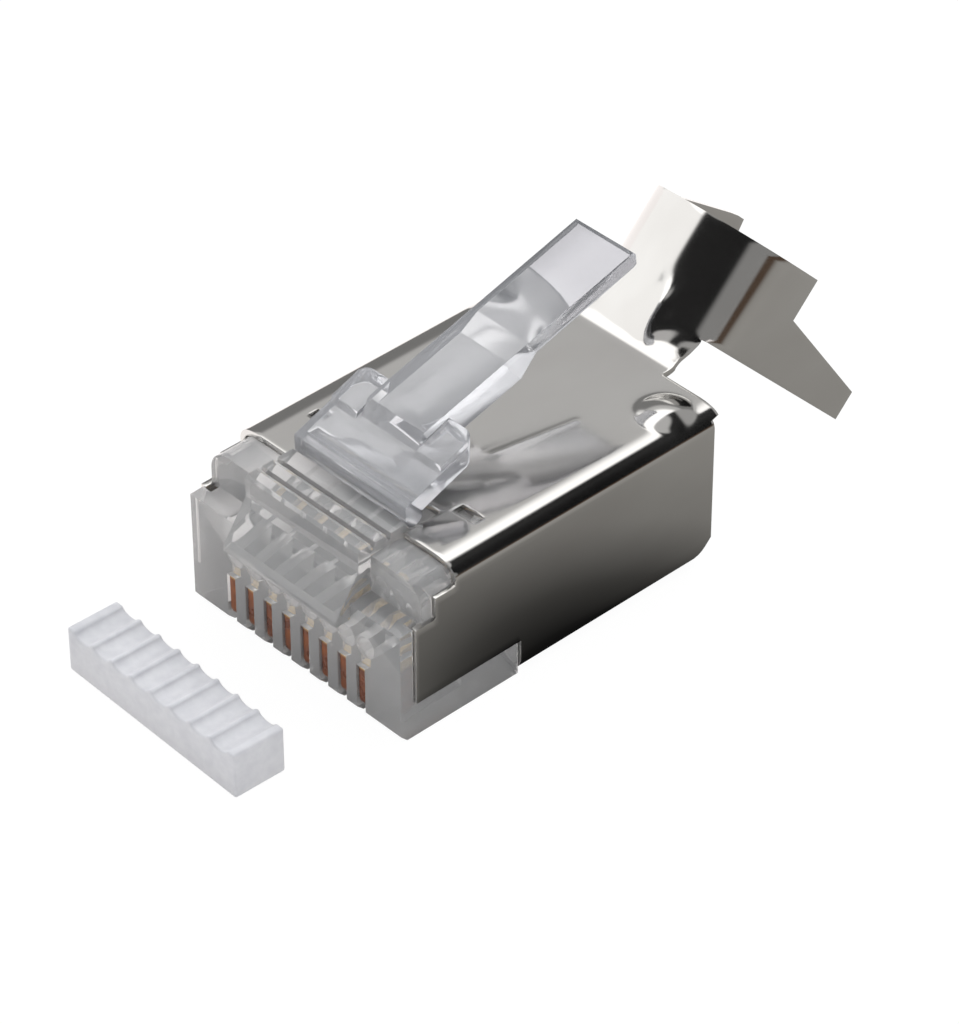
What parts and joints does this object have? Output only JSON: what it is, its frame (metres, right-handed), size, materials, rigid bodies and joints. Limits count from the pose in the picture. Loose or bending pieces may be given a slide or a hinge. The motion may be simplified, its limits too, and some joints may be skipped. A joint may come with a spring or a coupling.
{
  "type": "modular ethernet plug",
  "caption": "Shielded modular network plug with a clear nose, a latch, a folded metal shield with a U-shaped cable clamp, and a loose load bar.",
  "frame": {"origin": "middle of the plug's width, at the slotted front face and the contact side it rests on", "axes": "+X across the plug, +Y from the nose towards the cable, +Z from the contact side up to the latch"},
  "size_m": [0.0116, 0.0331, 0.0119],
  "materials": {
    "clear_plastic": "clear moulded",
    "plated_sheet": "bright nickel plating",
    "contact_gold": "gold over copper alloy",
    "frosted_plastic": "frosted clear"
  },
  "bodies": {
    "plug": {"housing": "clear_plastic", "shield": "plated_sheet", "contact_1": "contact_gold", "contact_2": "contact_gold", "contact_3": "contact_gold", "contact_4": "contact_gold", "contact_5": "contact_gold", "contact_6": "contact_gold", "contact_7": "contact_gold", "contact_8": "contact_gold", "load_bar": "frosted_plastic"},
    "latch": {"latch": "clear_plastic"}
  },
  "joints": [
    {"name": "latch_press", "type": "hinge", "parent": "plug", "child": "latch", "pos_m": [0, 0.0032, 0.0071], "axis": [-1, 0, 0], "range_deg": [0, 14], "stiffness_Nm_per_rad": 0.3}
  ]
}
